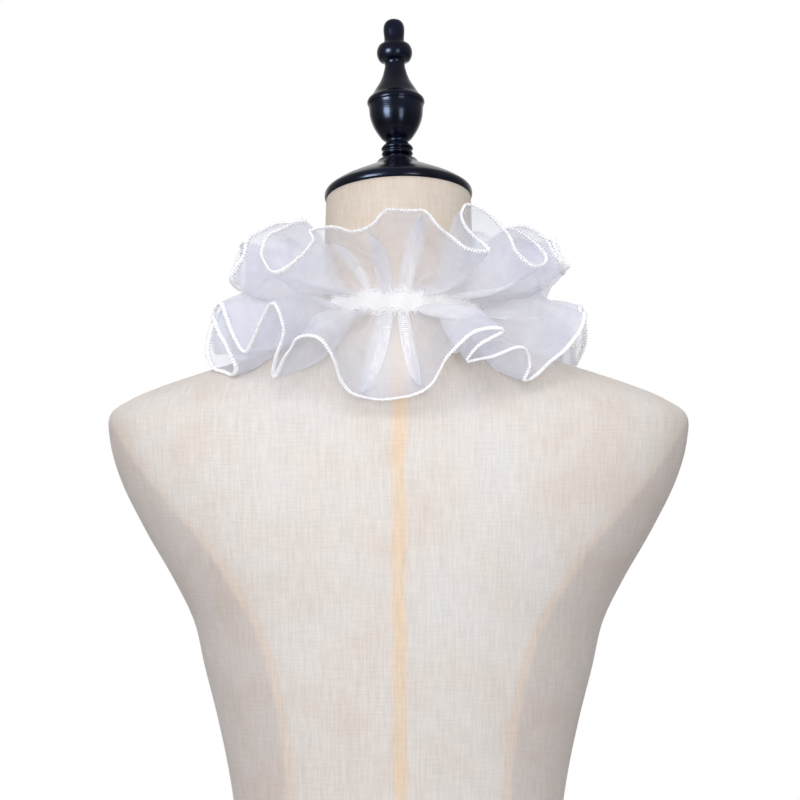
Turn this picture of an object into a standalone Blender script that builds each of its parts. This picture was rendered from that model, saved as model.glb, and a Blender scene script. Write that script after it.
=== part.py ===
"""Gathered organza ruff collar, worn on a limbless dress form.

Metres, +Z up, the form's front towards -Y. The origin is under the middle of the base, on the surface
that the form stands on. The collar is a narrow stretch band with one gathered ruffle sewn to its top
and one to its bottom. Each ruffle is worked out from the folds that its hem runs through.
"""

import math
from collections import namedtuple

import bmesh
import bpy
import numpy as np
from mathutils import Matrix, Vector
from mathutils.bvhtree import BVHTree

MM = 0.001
SEAM = 0.3 * MM

# The base plate, in the outline of the form's lowest section.
BASE_HEIGHT = 19.7 * MM
BASE_INSET = 3.0 * MM
BASE_EDGE = 3.0 * MM

# The form's sections, bottom to top: the height of the middle, the half width, the reach to the front
# and to the back of the middle, the middle's place on Y, in mm, then the tilt to the front in degrees
# and the squareness, where 2 is an ellipse. The neck also leans a little to +X at its top.
Section = namedtuple("Section", "height half_width front back middle tilt square lean", defaults=[0])
FORM_SECTIONS = [
    Section(20, 143, 96, 103, 0, 0, 2.3),
    Section(62, 146, 99, 108, 0, 0, 2.3),
    Section(100, 139, 96, 103, 0, 0, 2.25),
    Section(130, 126, 91, 92, 0, 0, 2.25),
    Section(158, 114, 86, 81, 0, 0, 2.2),
    Section(187, 108.5, 83, 76, 0, 0, 2.2),
    Section(218, 109.5, 85, 78, 0, 0, 2.2),
    Section(250, 114, 90, 84, 0, 0, 2.2),
    Section(286, 121.5, 98, 92, 0, 0, 2.25),
    Section(320, 130, 104, 99, 0, 0, 2.3),
    Section(350, 137, 108, 103, 0, 0, 2.3),
    Section(378, 150.5, 108, 106, 0, 0, 2.3),
    Section(410, 169, 104, 107, 0, 0, 2.3),
    Section(444, 186, 93, 104, 0, 0, 2.25),
    Section(470, 193.5, 81, 97, 0, 0, 2.2),
    Section(488, 193.5, 69, 88, 0, 1, 2.15),
    Section(499, 178, 58, 80, 0, 2, 2.1),
    Section(507, 158.5, 51, 74, 0, 3, 2.05),
    Section(515.5, 133, 46, 68, -1, 4, 2),
    Section(524, 105, 43, 63, -2, 5, 2),
    Section(531, 86, 43, 59, -3, 7, 2),
    Section(536.5, 70, 44, 56, -4, 8, 2),
    Section(541.5, 57.5, 46, 53, -6, 9, 2),
    Section(548, 51.2, 48, 50.5, -8, 10, 2),
    Section(557, 50.3, 49.5, 50.3, -10, 11, 2),
    Section(582, 50.2, 50, 50.2, -16, 12, 2),
    Section(610, 50.0, 50, 50, -23.5, 13.2, 2, 0.8),
    Section(635, 49.4, 49.4, 49.4, -31, 14.5, 2, 1.5),
]
FORM_SIDES = 40
FORM_Y = 12.5 * MM
BUST_X = 74 * MM
BUST_Z = 352 * MM
BUST_REACH = 26 * MM
BUST_WIDE = 52 * MM
BUST_TALL = 55 * MM

# The turned cap and finial: radius and height in mm, from the neck's top along its axis.
CAP_SIDES = 40
CAP_PROFILE = [
    (0, 0.3), (49.2, 0.3), (50.3, 1.4), (50.3, 4.6), (48.6, 7.0), (41.8, 11.6), (33.2, 16.0),
    (24.8, 20.0), (17.2, 23.6), (14.4, 26.2), (13.4, 27.6), (0, 27.6),
]
FINIAL_SIDES = 28
FINIAL_PROFILE = [
    (0, 27.9), (10.0, 27.9), (8.4, 29.7), (9.8, 31.2), (10.7, 32.8), (9.6, 34.3), (10.9, 36.3),
    (9.8, 38.3), (7.6, 41.1), (10.6, 44.4), (15.2, 51.7), (17.9, 59.2), (18.9, 67.7), (19.7, 69.5),
    (19.4, 72.0), (16.6, 75.2), (13.8, 79.7), (10.2, 85.9), (8.1, 91.7), (7.1, 99.2), (10.6, 101.4),
    (12.3, 106.4), (10.8, 111.6), (7.2, 113.9), (7.3, 124.6), (6.0, 128.8), (3.0, 130.9), (0, 130.9),
]

# The collar's band: a ring round the neck, lower at the front.
BAND_Y = -9.4 * MM
BAND_Z = 554.5 * MM
BAND_TILT = math.radians(10)
BAND_RADIUS = 51.8 * MM
BAND_WALL = 1.2 * MM
BAND_CROWN = 0.2 * MM
BAND_HEIGHT = 13.0 * MM
BAND_SIDES = 80

# The ruffles, each a wall of cloth between a gathered root on the band and a free hem.
CLOTH_WALL = 1.0 * MM
RUFFLE_WIDTH = 82 * MM
RUFFLE_COLUMNS = 216
RUFFLE_ROWS = np.array([0, 0.1, 0.26, 0.48, 0.74, 1])
ROOT_HEIGHT = 4.6 * MM
ROOT_LEAD = 0.42
HEM_LEAD = 0.34
PUFF_BACK = {1: 32, -1: -50}
PUFF_SIDE = {1: 50, -1: -8}
PUFF_SWING = (34, 45)
HEM_ARC = 34
TROUGH_ARC = 0.1
ROOT_SPREAD = 2.8
CLEARANCE = 1.2 * MM

# One row for each fold, round the neck from the back centre. Reach is the share of the ruffle's width
# that the fold stands out to. The hem runs through its places, each an azimuth from the back centre
# towards +X and a rise from the level, in degrees.
Fold = namedtuple("Fold", "reach places")
UPPER_FOLDS = [
    Fold(1.00, [(-8, 37.5), (0, 38.7), (3.5, 37.8), (8, 30.5), (13.5, 26.8), (20.5, 29.8)]),
    Fold(1.00, [(27, 28.5), (25, 23.5), (28.5, 15.5), (36.5, 9.5), (42, 17.5), (42.5, 25)]),
    Fold(1.00, [(41.5, 28.5), (37, 31), (32, 33.8)]),
    Fold(0.92, [(33.5, 38.8), (46, 37.5)]),
    Fold(1.00, [(50.5, 28), (50.5, 19), (54.5, 9)]),
    Fold(0.78, [(62, 8)]),
    Fold(0.82, [(70, 36), (78, 36)]),
    Fold(0.72, [(86, 17)]),
    Fold(0.82, [(93, 36), (100, 45), (107, 38), (114, 24), (121, 37)]),
    Fold(0.92, [(129, 51), (136, 40), (143, 24), (149, 38)]),
    Fold(1.00, [(158, 57), (165, 44), (172, 28), (179, 42)]),
    Fold(1.00, [(187, 58), (194, 44), (201, 27), (207, 40)]),
    Fold(0.95, [(215, 57), (222, 44), (230, 26), (237, 42)]),
    Fold(0.83, [(246, 55), (253, 44), (259, 24), (266, 38)]),
    Fold(0.82, [(274, 41), (280, 35)]),
    Fold(0.70, [(286, 9), (291, 12)]),
    Fold(0.90, [(297, 34), (300, 25)]),
    Fold(1.00, [(303, 14), (308.5, 19.5), (311, 27), (316, 31.7), (324.5, 31), (319, 28), (315, 23)]),
    Fold(1.00, [(313.5, 17), (319, 13), (324.5, 18.5), (326, 28), (332, 39), (337, 43.5), (340, 38)]),
    Fold(1.00, [(340, 32), (338, 25.5), (333.5, 18.3), (340.5, 19.3), (346.5, 26.8)]),
]
LOWER_FOLDS = [
    Fold(1.00, [(-30, -11), (-21.5, -12.3), (-14.5, -23.5), (-12.5, -31.5), (-10, -39), (-4, -46)]),
    Fold(1.00, [(4, -47.7), (14, -45.5), (18, -35.5), (19.5, -21.5), (23, -15), (29, -14.5), (32.5, -20.5)]),
    Fold(1.00, [(41, -32.5), (38, -23), (33, -10.5), (36.5, 1.5), (41, -6.5), (49.8, -19.5), (55, -5.5)]),
    Fold(1.00, [(60, 4.5), (64, 0.5), (61.5, -7.5), (58, -16.5), (57, -26.5), (66, -29.5), (75, -18.5)]),
    Fold(0.92, [(80, -6.5)]),
    Fold(0.80, [(85, 11)]),
    Fold(0.90, [(92, -7.5), (97, -15.5), (102, -4)]),
    Fold(0.90, [(108, 7), (114, -8), (118, -20), (124, -10.5)]),
    Fold(1.00, [(131, -1.5), (137, -16.5), (143, -36.5), (150, -20.5)]),
    Fold(1.00, [(158, -7.5), (165, -26.5), (173, -48.5), (181, -27.5)]),
    Fold(1.00, [(189, -8.5), (196, -26.5), (204, -46.5), (211, -26.5)]),
    Fold(1.00, [(218, -5.5), (225, -18.5), (232, -36.5), (238, -18.5)]),
    Fold(0.92, [(245, 5), (251, -10.5), (257, -20.5), (263, -9.5)]),
    Fold(0.86, [(270, 9), (277, -7.5), (284, -16.5), (288, -8.5)]),
    Fold(1.00, [(295, 0.5), (298, -8.5), (307, -20.5), (317.5, -34.5), (318, -25.5)]),
    Fold(1.00, [(322, -18.5), (334, -24), (340, -26.5), (337.5, -19.5)]),
]

LINEN = (0.72, 0.64, 0.52)
ORGANZA = (0.93, 0.93, 0.95)
WEBBING = (0.9, 0.9, 0.9)
BLACK_WOOD = (0.012, 0.012, 0.014)


def remove_everything():
    """Empties the scene that the script starts in."""
    for item in list(bpy.data.objects):
        bpy.data.objects.remove(item)


def material(name, colour, roughness):
    """A Principled material of one colour."""
    made = bpy.data.materials.new(name)
    made.use_nodes = True
    shader = made.node_tree.nodes["Principled BSDF"]
    shader.inputs["Base Color"].default_value = (*colour, 1)
    shader.inputs["Roughness"].default_value = roughness
    return made


def add_object(name, points, faces, finish):
    """A named object from points and faces, smooth shaded, with its normals facing out."""
    mesh = bpy.data.meshes.new(name)
    mesh.from_pydata([tuple(point) for point in points], [], faces)
    work = bmesh.new()
    work.from_mesh(mesh)
    bmesh.ops.recalc_face_normals(work, faces=work.faces)
    work.to_mesh(mesh)
    work.free()
    mesh.shade_smooth()
    mesh.set_sharp_from_angle(angle=math.radians(40))
    mesh.materials.append(finish)
    made = bpy.data.objects.new(name, mesh)
    bpy.context.scene.collection.objects.link(made)
    return made


def ring_faces(rings, sides, closed=False):
    """Quads between neighbouring rings of points, and from the last to the first when it is closed."""
    faces = []
    for ring in range(rings if closed else rings - 1):
        low, high = ring * sides, (ring + 1) % rings * sides
        for side in range(sides):
            after = (side + 1) % sides
            faces.append((low + side, low + after, high + after, high + side))
    return faces


def capped_faces(rings, sides):
    """The faces of a solid of stacked rings, with a flat face at each end."""
    top = (rings - 1) * sides
    ends = [tuple(range(sides))[::-1], tuple(range(top, top + sides))]
    return ring_faces(rings, sides) + ends


def section_frame(section):
    """The place and tilt of a form section."""
    frame = Matrix.Translation((0, section.middle * MM + FORM_Y, section.height * MM))
    frame = frame @ Matrix.Rotation(math.radians(section.tilt), 4, "X")
    return frame @ Matrix.Rotation(math.radians(section.lean), 4, "Y")


def section_point(section, angle, inset=0.0):
    """The point of a form section at an angle round it, from +X towards the back."""
    across, along = math.cos(angle), math.sin(angle)
    power = 2 / section.square
    reach = section.back if along > 0 else section.front
    x = math.copysign(abs(across) ** power, across) * (section.half_width * MM - inset)
    y = math.copysign(abs(along) ** power, along) * (reach * MM - inset)
    point = section_frame(section) @ Vector((x, y, 0))
    if along < 0:
        aside = (abs(point.x) - BUST_X) / BUST_WIDE
        above = (point.z - BUST_Z) / BUST_TALL
        point.y -= BUST_REACH * math.exp(-(aside**2) - above**2) * abs(along)
    return point


def build_form(finish):
    """The linen-covered torso and neck, one closed solid."""
    points = [
        section_point(section, 2 * math.pi * side / FORM_SIDES)
        for section in FORM_SECTIONS
        for side in range(FORM_SIDES)
    ]
    return add_object("dress_form", points, capped_faces(len(FORM_SECTIONS), FORM_SIDES), finish)


def build_base(finish):
    """The black plate that the form stands on, with its edges rounded."""
    levels = [
        (0, BASE_INSET + BASE_EDGE / 2),
        (BASE_EDGE / 2, BASE_INSET),
        (BASE_HEIGHT - BASE_EDGE, BASE_INSET),
        (BASE_HEIGHT - BASE_EDGE * 0.3, BASE_INSET + BASE_EDGE * 0.3),
        (BASE_HEIGHT, BASE_INSET + BASE_EDGE),
    ]
    points = [
        section_point(FORM_SECTIONS[0]._replace(height=height / MM), 2 * math.pi * side / FORM_SIDES, inset)
        for height, inset in levels
        for side in range(FORM_SIDES)
    ]
    return add_object("base_plate", points, capped_faces(len(levels), FORM_SIDES), finish)


def build_turned(name, profile, sides, finish):
    """A piece turned on the lathe about the neck's axis, from a profile of radii and heights."""
    place = section_frame(FORM_SECTIONS[-1])
    points, faces, starts = [], [], []
    for radius, height in profile:
        starts.append(len(points))
        for side in range(sides if radius > 0 else 1):
            angle = 2 * math.pi * side / sides
            spot = Vector((radius * math.cos(angle), radius * math.sin(angle), height))
            points.append(place @ (spot * MM))
    for ring in range(len(profile) - 1):
        low, high = starts[ring], starts[ring + 1]
        for side in range(sides):
            after = (side + 1) % sides
            if profile[ring][0] == 0:
                faces.append((low, high + after, high + side))
            elif profile[ring + 1][0] == 0:
                faces.append((low + side, low + after, high))
            else:
                faces.append((low + side, low + after, high + after, high + side))
    return add_object(name, points, faces, finish)


def band_points(azimuth, radius, height):
    """Points round the band: azimuths in radians from the back centre, heights along the neck."""
    azimuth = np.asarray(azimuth, float)
    across = radius * np.sin(azimuth)
    back = radius * np.cos(azimuth)
    y = BAND_Y + FORM_Y + back * math.cos(BAND_TILT) - height * math.sin(BAND_TILT)
    z = BAND_Z + back * math.sin(BAND_TILT) + height * math.cos(BAND_TILT)
    return np.stack([across, y, z + 0 * back], axis=-1)


def build_band(finish):
    """The stretch band, a flat ring a little fuller at its middle."""
    half, outer = BAND_HEIGHT / 2, BAND_RADIUS + BAND_WALL
    outline = [
        (BAND_RADIUS, -half), (outer, -half), (outer + BAND_CROWN, 0), (outer, half), (BAND_RADIUS, half),
    ]
    turns = 2 * np.pi * np.arange(BAND_SIDES) / BAND_SIDES
    rings = np.stack([band_points(turns, radius, height) for radius, height in outline], axis=1)
    faces = ring_faces(BAND_SIDES, len(outline), closed=True)
    return add_object("neck_band", rings.reshape(-1, 3), faces, finish)


def smooth_loop(places, turn, steps):
    """Points along a smooth curve through places that come round again after one turn."""
    count = len(places)
    long = np.concatenate([places - turn, places, places + turn])
    gap = np.linalg.norm(np.diff(long, axis=0), axis=1, keepdims=True) ** 0.5
    slope = np.diff(long, axis=0) / gap
    lean = (slope[1:] * gap[:-1] + slope[:-1] * gap[1:]) / (gap[1:] + gap[:-1])
    share = (np.arange(steps) / steps)[:, None]
    curve = []
    for start in range(count, 2 * count):
        reach = gap[start]
        curve.append(
            (2 * share**3 - 3 * share**2 + 1) * long[start]
            + (share**3 - 2 * share**2 + share) * reach * lean[start - 1]
            + (3 * share**2 - 2 * share**3) * long[start + 1]
            + (share**3 - share**2) * reach * lean[start]
        )
    return np.concatenate(curve)


def unit(vectors):
    """The vectors, each made one long."""
    return vectors / np.linalg.norm(vectors, axis=-1, keepdims=True)


def ruffle_surface(folds, side):
    """The ruffle's middle surface: an array of rows from the root to the hem, by columns."""
    places = np.array([(*place, fold.reach) for fold in folds for place in fold.places])
    places[:, :2] = np.radians(places[:, :2])
    turn = np.array([2 * np.pi, 0, 0])
    curve = smooth_loop(places, turn, 24)
    loop = np.concatenate([curve, curve[:1] + turn])

    # The cloth is gathered evenly, so the root follows the hem's azimuth only loosely.
    radius = BAND_RADIUS + BAND_WALL + RUFFLE_WIDTH * loop[:, 2] * np.cos(loop[:, 1])
    hem = np.stack([
        radius * np.sin(loop[:, 0]), radius * np.cos(loop[:, 0]), RUFFLE_WIDTH * np.sin(loop[:, 1]),
    ], axis=1)
    length = np.concatenate([[0], np.cumsum(np.linalg.norm(np.diff(hem, axis=0), axis=1))])
    even = np.arange(RUFFLE_COLUMNS) / RUFFLE_COLUMNS
    azimuth, rise, reach = (np.interp(even * length[-1], length, column) for column in loop.T)
    wander = np.fft.rfft(azimuth - 2 * np.pi * even)
    wander *= np.exp(-((np.arange(len(wander)) * ROOT_SPREAD / len(folds)) ** 2))
    root_azimuth = 2 * np.pi * even + np.fft.irfft(wander, RUFFLE_COLUMNS)

    swing = low_pass(rise - low_pass(rise, len(folds) / 2.5), len(folds) * 2.2)
    swing = np.clip(swing / (1.5 * swing.std()), -1, 1)
    beside = np.abs(np.sin(root_azimuth)) ** 2.5
    middle = PUFF_BACK[side] + (PUFF_SIDE[side] - PUFF_BACK[side]) * beside
    tilt = np.radians(middle + (PUFF_SWING[0] + (PUFF_SWING[1] - PUFF_SWING[0]) * beside) * swing)

    root_radius = BAND_RADIUS + BAND_WALL + BAND_CROWN + SEAM
    seam_radius = root_radius + CLOTH_WALL / 2 * np.abs(np.sin(tilt))
    root = band_points(root_azimuth, seam_radius, side * ROOT_HEIGHT)
    out = np.stack([np.sin(azimuth), np.cos(azimuth), 0 * azimuth], axis=1)
    centre = band_points(azimuth, root_radius, side * ROOT_HEIGHT)
    up = np.array([0, 0, 1])
    spread = RUFFLE_WIDTH * reach[:, None]
    hem = centre + spread * (np.cos(rise)[:, None] * out + np.sin(rise)[:, None] * up)
    return surface_between(root, root_azimuth, tilt[:, None], hem, swing)


def low_pass(values, keep):
    """The values round a loop with only their slow part kept."""
    bins = np.fft.rfft(values)
    return np.fft.irfft(bins * np.exp(-((np.arange(len(bins)) / keep) ** 2)), len(values))


def surface_between(root, root_azimuth, tilt, hem, swing):
    """Rows of cloth from the root to the hem, which puff up at the crests and down at the troughs."""
    away = band_points(root_azimuth, 1, 0) - band_points(root_azimuth, 0, 0)
    axis = band_points(0, 0, 1) - band_points(0, 0, 0)
    start = np.cos(tilt) * away + np.sin(tilt) * axis
    chord = unit(hem - root)
    lifted = unit(axis - np.sum(axis * chord, axis=1, keepdims=True) * chord)
    arc = np.radians(HEM_ARC * np.where(swing > 0, swing, TROUGH_ARC * swing))[:, None]
    finish = np.cos(arc) * chord - np.sin(arc) * lifted
    width = np.linalg.norm(hem - root, axis=1, keepdims=True)
    share = RUFFLE_ROWS[:, None, None]
    return (
        (1 - share) ** 3 * root
        + 3 * (1 - share) ** 2 * share * (root + ROOT_LEAD * width * start)
        + 3 * (1 - share) * share**2 * (hem - HEM_LEAD * width * finish)
        + share**3 * hem
    )


def clear_of(surface, solid):
    """The points, with any that lie in or near the solid moved out to the clearance."""
    work = bmesh.new()
    work.from_mesh(solid.data)
    tree = BVHTree.FromBMesh(work)
    work.free()
    moved = surface.copy()
    for place in np.ndindex(surface.shape[:2]):
        spot = Vector(surface[place])
        near, facing, _, _ = tree.find_nearest(spot)
        height = (spot - near).dot(facing)
        if height < CLEARANCE and (spot - near).length < 30 * MM:
            moved[place] = near + facing * CLEARANCE
    return moved


def build_ruffle(name, folds, side, form, finish):
    """One ruffle as a closed wall of cloth."""
    surface = ruffle_surface(folds, side)
    surface[1:] = clear_of(surface[1:], form)
    rows, columns, _ = surface.shape
    ruffle = add_object(name, surface.reshape(-1, 3), ring_faces(rows, columns), finish)
    wall = ruffle.modifiers.new("Wall", "SOLIDIFY")
    wall.thickness = CLOTH_WALL
    wall.offset = 0
    wall.use_even_offset = False
    return ruffle


remove_everything()
linen = material("linen", LINEN, 0.9)
organza = material("organza", ORGANZA, 0.55)
webbing = material("stretch_webbing", WEBBING, 0.8)
wood = material("black_wood", BLACK_WOOD, 0.25)

form = build_form(linen)
build_base(wood)
build_turned("neck_cap", CAP_PROFILE, CAP_SIDES, wood)
build_turned("finial", FINIAL_PROFILE, FINIAL_SIDES, wood)
build_band(webbing)
build_ruffle("upper_ruffle", UPPER_FOLDS, 1, form, organza)
build_ruffle("lower_ruffle", LOWER_FOLDS, -1, form, organza)
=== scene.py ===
"""Looks for the organza ruff collar on its dress form, seen from the back as in the photograph."""

import math
from collections import namedtuple

import bmesh
import bpy
import numpy as np
from mathutils import Euler, Matrix, Vector
from mathutils.bvhtree import BVHTree


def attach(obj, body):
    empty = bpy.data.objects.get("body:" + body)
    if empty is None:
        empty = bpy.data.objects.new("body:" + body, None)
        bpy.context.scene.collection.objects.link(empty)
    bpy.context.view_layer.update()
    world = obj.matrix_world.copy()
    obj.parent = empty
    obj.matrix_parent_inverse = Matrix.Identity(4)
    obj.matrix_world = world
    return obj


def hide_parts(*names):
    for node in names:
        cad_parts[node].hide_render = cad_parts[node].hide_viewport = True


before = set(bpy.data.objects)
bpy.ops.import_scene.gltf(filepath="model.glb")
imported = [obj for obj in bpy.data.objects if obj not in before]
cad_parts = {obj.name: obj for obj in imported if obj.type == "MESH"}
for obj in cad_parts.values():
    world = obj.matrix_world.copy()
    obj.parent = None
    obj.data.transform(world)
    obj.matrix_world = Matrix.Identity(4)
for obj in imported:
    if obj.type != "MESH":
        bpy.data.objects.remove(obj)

MM = 0.001
UP = np.array([0.0, 0.0, 1.0])
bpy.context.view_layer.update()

# Camera: level with the shoulders, straight behind the form.
CAMERA_DISTANCE = 2.0
CAMERA_HEIGHT = 0.498
CAMERA_ASIDE = -0.001
FIELD_WIDTH = 0.5416
SENSOR = 36.0

# The form's sections, as in the solids: height, half width, reach to the front and back, middle on Y,
# in mm, tilt in degrees, squareness and lean in degrees.
Section = namedtuple("Section", "height half_width front back middle tilt square lean", defaults=[0])
FORM_SECTIONS = [
    Section(20, 143, 96, 103, 0, 0, 2.3),
    Section(62, 146, 99, 108, 0, 0, 2.3),
    Section(100, 139, 96, 103, 0, 0, 2.25),
    Section(130, 126, 91, 92, 0, 0, 2.25),
    Section(158, 114, 86, 81, 0, 0, 2.2),
    Section(187, 108.5, 83, 76, 0, 0, 2.2),
    Section(218, 109.5, 85, 78, 0, 0, 2.2),
    Section(250, 114, 90, 84, 0, 0, 2.2),
    Section(286, 121.5, 98, 92, 0, 0, 2.25),
    Section(320, 130, 104, 99, 0, 0, 2.3),
    Section(350, 137, 108, 103, 0, 0, 2.3),
    Section(378, 150.5, 108, 106, 0, 0, 2.3),
    Section(410, 169, 104, 107, 0, 0, 2.3),
    Section(444, 186, 93, 104, 0, 0, 2.25),
    Section(470, 193.5, 81, 97, 0, 0, 2.2),
    Section(488, 193.5, 69, 88, 0, 1, 2.15),
    Section(499, 178, 58, 80, 0, 2, 2.1),
    Section(507, 158.5, 51, 74, 0, 3, 2.05),
    Section(515.5, 133, 46, 68, -1, 4, 2),
    Section(524, 105, 43, 63, -2, 5, 2),
    Section(531, 86, 43, 59, -3, 7, 2),
    Section(536.5, 70, 44, 56, -4, 8, 2),
    Section(541.5, 57.5, 46, 53, -6, 9, 2),
    Section(548, 51.2, 48, 50.5, -8, 10, 2),
    Section(557, 50.3, 49.5, 50.3, -10, 11, 2),
    Section(582, 50.2, 50, 50.2, -16, 12, 2),
    Section(610, 50.0, 50, 50, -23.5, 13.2, 2, 0.8),
    Section(635, 49.4, 49.4, 49.4, -31, 14.5, 2, 1.5),
]
FORM_Y = 12.5 * MM
BUST_X = 74 * MM
BUST_Z = 352 * MM
BUST_REACH = 26 * MM
BUST_WIDE = 52 * MM
BUST_TALL = 55 * MM
FORM_AROUND = 180
TURN_SIDES = 96
TURN_STEPS = 5

# The turned cap and finial, as in the solids: radius and height in mm, from the neck's top.
CAP_PROFILE = [
    (0, 0.3), (49.2, 0.3), (50.3, 1.4), (50.3, 4.6), (48.6, 7.0), (41.8, 11.6), (33.2, 16.0),
    (24.8, 20.0), (17.2, 23.6), (14.4, 26.2), (13.4, 27.6), (0, 27.6),
]
FINIAL_PROFILE = [
    (0, 27.9), (10.0, 27.9), (8.4, 29.7), (9.8, 31.2), (10.7, 32.8), (9.6, 34.3), (10.9, 36.3),
    (9.8, 38.3), (7.6, 41.1), (10.6, 44.4), (15.2, 51.7), (17.9, 59.2), (18.9, 67.7), (19.7, 69.5),
    (19.4, 72.0), (16.6, 75.2), (13.8, 79.7), (10.2, 85.9), (8.1, 91.7), (7.1, 99.2), (10.6, 101.4),
    (12.3, 106.4), (10.8, 111.6), (7.2, 113.9), (7.3, 124.6), (6.0, 128.8), (3.0, 130.9), (0, 130.9),
]
FORM_UP = 7

# The band and the ruffles, as in the solids but for the seam's radius, which is the same all round here.
BAND_Y = -9.4 * MM
BAND_Z = 554.5 * MM
BAND_TILT = math.radians(10)
BAND_RADIUS = 51.8 * MM
BAND_WALL = 1.2 * MM
BAND_HEIGHT = 13.0 * MM
RUFFLE_WIDTH = 82 * MM
ROOT_RADIUS = 53.5 * MM
ROOT_HEIGHT = 4.6 * MM
ROOT_LEAD = 0.42
HEM_LEAD = 0.34
ROOT_SPREAD = 2.8

# A row for each fold, as in the solids but for sharper corners: the share of the width that it stands
# out to, and its places, each an azimuth from the back centre and a rise from the level, in degrees.
Fold = namedtuple("Fold", "reach places")
UPPER_FOLDS = [
    Fold(1.00, [
        (-9, 36), (-7.8, 37.7), (0, 38.5), (3.6, 38), (4.6, 36.6), (8, 30.5), (13.5, 26.8), (20.5, 29.8),
    ]),
    Fold(1.00, [(27, 28.5), (25, 23.5), (28.5, 15.5), (36.5, 9.5), (42, 17.5), (42.5, 25)]),
    Fold(1.00, [(41.5, 28.5), (37, 31), (32, 33.8)]),
    Fold(0.92, [(33.5, 38.8), (46, 37.5)]),
    Fold(1.00, [(50.5, 28), (50.5, 19), (54.5, 9)]),
    Fold(0.78, [(62, 8)]),
    Fold(0.82, [(70, 36), (78, 36)]),
    Fold(0.72, [(86, 17)]),
    Fold(0.82, [(93, 36), (100, 45), (107, 38), (114, 24), (121, 37)]),
    Fold(0.92, [(129, 51), (136, 40), (143, 24), (149, 38)]),
    Fold(1.00, [(158, 57), (165, 44), (172, 28), (179, 42)]),
    Fold(1.00, [(187, 58), (194, 44), (201, 27), (207, 40)]),
    Fold(0.95, [(215, 57), (222, 44), (230, 26), (237, 42)]),
    Fold(0.83, [(246, 55), (253, 44), (259, 24), (266, 38)]),
    Fold(0.82, [(274, 41), (280, 35)]),
    Fold(0.60, [(286, 14), (291, 16)]),
    Fold(0.90, [(297, 34), (300, 25)]),
    Fold(1.00, [
        (303, 14), (308.5, 19.5), (311, 27), (315, 31.4), (323.5, 31.8), (325, 31.2), (323.8, 30.4),
        (319, 27.5), (315, 23),
    ]),
    Fold(1.00, [(313.5, 17), (319, 13), (324.5, 18.5), (326, 28), (332, 39), (337, 43.5), (340, 38)]),
    Fold(1.00, [(340, 32), (338, 25.5), (333.5, 18.3), (340.5, 19.3), (346.5, 26.8)]),
]
LOWER_FOLDS = [
    Fold(1.00, [(-30, -11), (-21.5, -12.3), (-14.5, -23.5), (-12.5, -31.5), (-10, -39), (-4, -46)]),
    Fold(1.00, [(4, -47.7), (14, -45.5), (18, -35.5), (19.5, -21.5), (23, -15), (29, -14.5), (32.5, -20.5)]),
    Fold(1.00, [(41, -32.5), (38, -23), (33, -10.5), (36.5, 1.5), (41, -6.5), (49.8, -19.5), (55, -5.5)]),
    Fold(1.00, [(60, 4.5), (64, 0.5), (61.5, -7.5), (58, -16.5), (57, -26.5), (66, -29.5), (75, -18.5)]),
    Fold(0.92, [(80, -6.5)]),
    Fold(0.80, [(85, 11)]),
    Fold(0.90, [(92, -7.5), (97, -15.5), (102, -4)]),
    Fold(0.90, [(108, 7), (114, -8), (118, -20), (124, -10.5)]),
    Fold(1.00, [(131, -1.5), (137, -16.5), (143, -36.5), (150, -20.5)]),
    Fold(1.00, [(158, -7.5), (165, -26.5), (173, -48.5), (181, -27.5)]),
    Fold(1.00, [(189, -8.5), (196, -26.5), (204, -46.5), (211, -26.5)]),
    Fold(1.00, [(218, -5.5), (225, -18.5), (232, -36.5), (238, -18.5)]),
    Fold(0.92, [(245, 5), (251, -10.5), (257, -20.5), (263, -9.5)]),
    Fold(0.86, [(270, 9), (277, -7.5), (284, -16.5), (288, -8.5)]),
    Fold(1.00, [(295, 0.5), (298, -8.5), (307, -20.5), (317.5, -34.5), (318, -25.5)]),
    Fold(1.00, [(322, -18.5), (334, -24), (340, -26.5), (337.5, -19.5)]),
]

# The ruffles' cloth. Side 1 is the upper ruffle and -1 the lower one, and angles are in degrees.
COLUMNS = 1300
ROWS = 56
ROW_CROWDING = 1.15
FOLD_STEPS = 40
PUFF_BACK = {1: 32, -1: -50}
PUFF_SIDE = {1: 50, -1: -8}
PUFF_SWING = (34, 45)
PUFF_TURN = 2.5
MIDDLE_DETAIL = 1 / 2.5
SWING_DETAIL = 2.2
SWING_FULL = 1.5
HEM_ARC = math.radians(34)
GATHERS = {1: 76, -1: 90}
GATHER_DEPTH = 2.1 * MM
GATHER_FADE = 0.42
GATHER_START = 0.4
GATHER_FULL = 0.04
GATHER_TURNS = 0.05
CREASES = 84
CREASE_DEPTH = 0.9 * MM
CREASE_ENDS = 0.85
HEM_RIPPLES = 46
HEM_RIPPLE = 0.5 * MM
HEM_RIPPLE_TURN = 6
FORM_CLEARANCE = 1.4 * MM
FORM_SEARCH = 30 * MM
FORM_MEETS = 0.56
CLOTH_GAP = 1.5 * MM
CLOTH_SEARCH = 14 * MM
CLOTH_MEETS = 0.545
CLOTH_ASIDE = 30 * MM

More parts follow.
